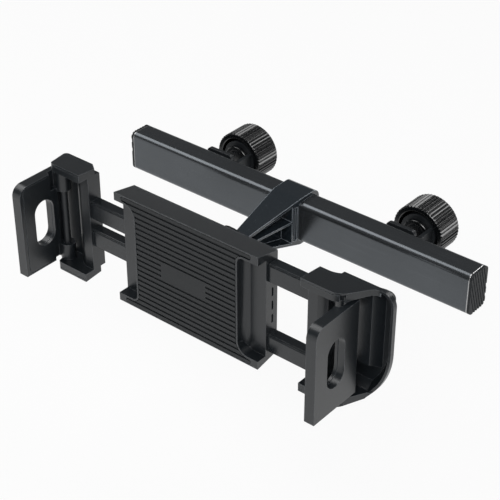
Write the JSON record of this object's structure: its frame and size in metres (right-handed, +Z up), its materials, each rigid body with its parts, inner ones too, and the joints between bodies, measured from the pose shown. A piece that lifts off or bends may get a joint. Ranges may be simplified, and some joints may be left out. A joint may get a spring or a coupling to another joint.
{
  "type": "headrest tablet mount",
  "caption": "Tablet holder with sliding, coupled claws on a ball-jointed arm, carried by a crossbar that clamps behind it to a car headrest's posts.",
  "frame": {"origin": "midway between the axes of the two headrest posts, at mid height of the crossbar", "axes": "+X along the crossbar, -Y towards the tablet, +Z up along the posts"},
  "size_m": [0.27, 0.1794, 0.078],
  "materials": {
    "bar_metal": "satin dark grey",
    "arm_plastic": "gloss black",
    "shell_plastic": "satin black",
    "rail_plastic": "satin black",
    "knob_plastic": "satin black",
    "soft_rubber": "matte black",
    "steel": "plain steel",
    "black_steel": "black, dull"
  },
  "bodies": {
    "bar": {"crossbar": "bar_metal", "end_cap_left": "shell_plastic", "end_cap_right": "shell_plastic"},
    "clamp_left": {"clamp_slider_left": "black_steel", "clamp_bolt_left": "black_steel", "clamp_hook_left": "black_steel", "post_pad_left": "soft_rubber"},
    "clamp_right": {"clamp_slider_right": "black_steel", "clamp_bolt_right": "black_steel", "clamp_hook_right": "black_steel", "post_pad_right": "soft_rubber"},
    "shoe_left": {"pressure_shoe_left": "knob_plastic"},
    "shoe_right": {"pressure_shoe_right": "knob_plastic"},
    "screw_left": {"clamp_screw_left": "steel", "knob_left": "knob_plastic"},
    "screw_right": {"clamp_screw_right": "steel", "knob_right": "knob_plastic"},
    "bracket": {"arm_bracket": "arm_plastic", "ball_stud": "steel"},
    "liner_rear": {"ball_liner_rear": "rail_plastic"},
    "liner_front": {"ball_liner_front": "rail_plastic"},
    "holder": {"rear_housing": "shell_plastic", "front_housing": "shell_plastic", "ribbed_pad": "soft_rubber", "housing_screws": "black_steel", "pinion_axle": "steel"},
    "nut": {"lock_nut": "knob_plastic"},
    "gear": {"pinion": "rail_plastic"},
    "right_arm": {"rail_right_upper": "rail_plastic", "rail_right_lower": "rail_plastic", "claw_right": "shell_plastic", "hinge_pin_right": "black_steel"},
    "left_arm": {"rail_left_upper": "rail_plastic", "rail_left_lower": "rail_plastic", "claw_left": "shell_plastic", "hinge_pin_left": "black_steel"},
    "jaw_right": {"flap_right": "shell_plastic"},
    "jaw_left": {"flap_left": "shell_plastic"}
  },
  "joints": [
    {"name": "clamp_left_slide", "type": "slide", "parent": "bar", "child": "clamp_left", "axis": [1, 0, 0], "range_m": [-0.038, 0.014]},
    {"name": "clamp_right_slide", "type": "slide", "parent": "bar", "child": "clamp_right", "axis": [1, 0, 0], "range_m": [-0.014, 0.038]},
    {"name": "shoe_left_travel", "type": "slide", "parent": "clamp_left", "child": "shoe_left", "axis": [0, -1, 0], "range_m": [0, 0.01]},
    {"name": "shoe_right_travel", "type": "slide", "parent": "clamp_right", "child": "shoe_right", "axis": [0, -1, 0], "range_m": [0, 0.01]},
    {"name": "knob_left_turn", "type": "hinge", "parent": "shoe_left", "child": "screw_left", "pos_m": [-0.0723, 0, 0], "axis": [0, -1, 0], "range_deg": [0, 1800]},
    {"name": "knob_right_turn", "type": "hinge", "parent": "shoe_right", "child": "screw_right", "pos_m": [0.0723, 0, 0], "axis": [0, -1, 0], "range_deg": [0, 1800]},
    {"name": "bracket_slide", "type": "slide", "parent": "bar", "child": "bracket", "axis": [1, 0, 0], "range_m": [-0.034, 0.034]},
    {"name": "ball_tilt", "type": "hinge", "parent": "bracket", "child": "liner_rear", "pos_m": [-0.0018, -0.0876, 0.0022], "axis": [1, 0, 0], "range_deg": [-15, 15]},
    {"name": "ball_swing", "type": "hinge", "parent": "liner_rear", "child": "liner_front", "pos_m": [-0.0018, -0.0876, 0.0022], "axis": [0, 0, 1], "range_deg": [-15, 15]},
    {"name": "ball_spin", "type": "hinge", "parent": "liner_front", "child": "holder", "pos_m": [-0.0018, -0.0876, 0.0022], "axis": [0, 1, 0], "continuous": true},
    {"name": "lock_nut_turn", "type": "hinge", "parent": "holder", "child": "nut", "pos_m": [-0.0018, -0.0876, 0.0022], "axis": [0, 1, 0], "range_deg": [-60, 0]},
    {"name": "gear_turn", "type": "hinge", "parent": "holder", "child": "gear", "pos_m": [-0.0018, -0.112, 0.01955], "axis": [0, 1, 0], "range_deg": [-336, 166]},
    {"name": "right_arm_slide", "type": "slide", "parent": "holder", "child": "right_arm", "axis": [1, 0, 0], "range_m": [-0.0293, 0.0144]},
    {"name": "left_arm_slide", "type": "slide", "parent": "holder", "child": "left_arm", "axis": [1, 0, 0], "range_m": [-0.0144, 0.0293]},
    {"name": "jaw_right_fold", "type": "hinge", "parent": "right_arm", "child": "jaw_right", "pos_m": [0.1066, -0.1149, 0], "axis": [0, 0, -1], "range_deg": [0, 90]},
    {"name": "jaw_left_fold", "type": "hinge", "parent": "left_arm", "child": "jaw_left", "pos_m": [-0.1102, -0.1149, 0], "axis": [0, 0, 1], "range_deg": [0, 90]}
  ],
  "couplings": [
    {"joint": "shoe_left_travel", "follows": "knob_left_turn", "m_per_rad": 0.00031831},
    {"joint": "shoe_right_travel", "follows": "knob_right_turn", "m_per_rad": 0.00031831},
    {"joint": "left_arm_slide", "follows": "right_arm_slide", "ratio": -1},
    {"joint": "gear_turn", "follows": "right_arm_slide", "rad_per_m": 200}
  ]
}
